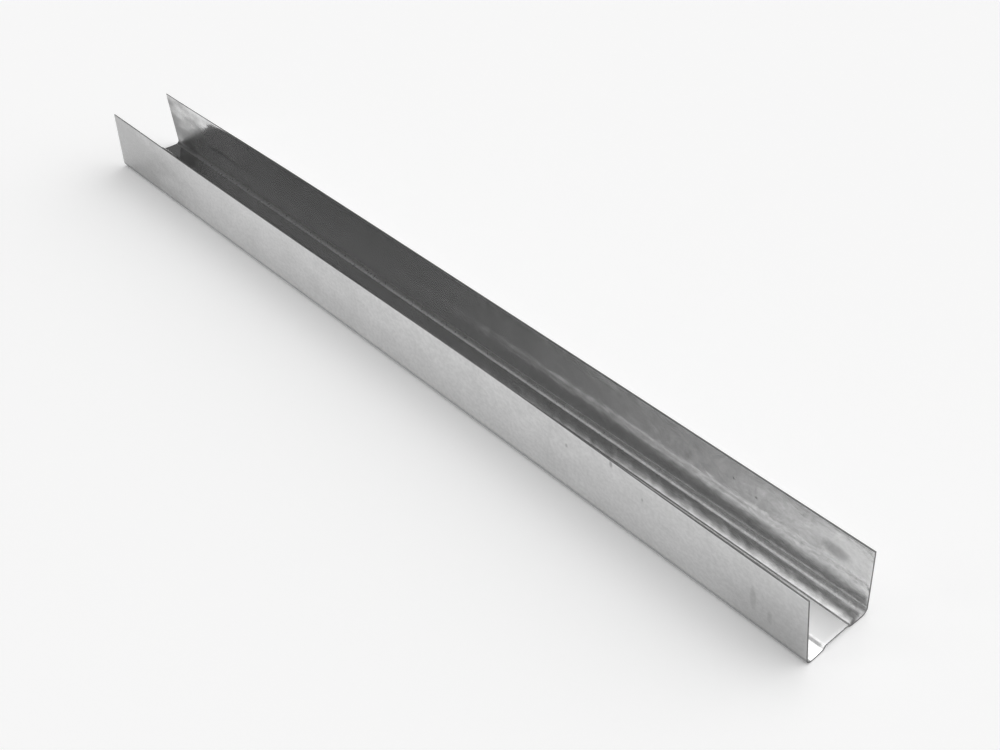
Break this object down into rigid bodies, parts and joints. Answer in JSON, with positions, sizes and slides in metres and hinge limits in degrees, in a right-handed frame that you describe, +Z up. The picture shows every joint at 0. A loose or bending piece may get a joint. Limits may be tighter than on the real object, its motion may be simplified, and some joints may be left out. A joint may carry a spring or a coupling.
{
  "type": "roll-formed steel u channel",
  "caption": "Straight cold-formed U channel of thin galvanised sheet with plain flanges and a raised middle panel along its web.",
  "frame": {"origin": "middle of the length and of the width, on the plane that the web's two outer strips lie on", "axes": "+X along the channel, +Y across the web from one flange to the other, +Z up from the web towards the free edges"},
  "size_m": [0.435, 0.03, 0.027],
  "materials": {
    "galvanised_sheet": "hot-dip galvanised strip, skin-passed, semi-matt grey with faint rolling marks and bare sheared edges"
  },
  "bodies": {
    "root": {"u_channel": "galvanised_sheet"}
  },
  "joints": []
}
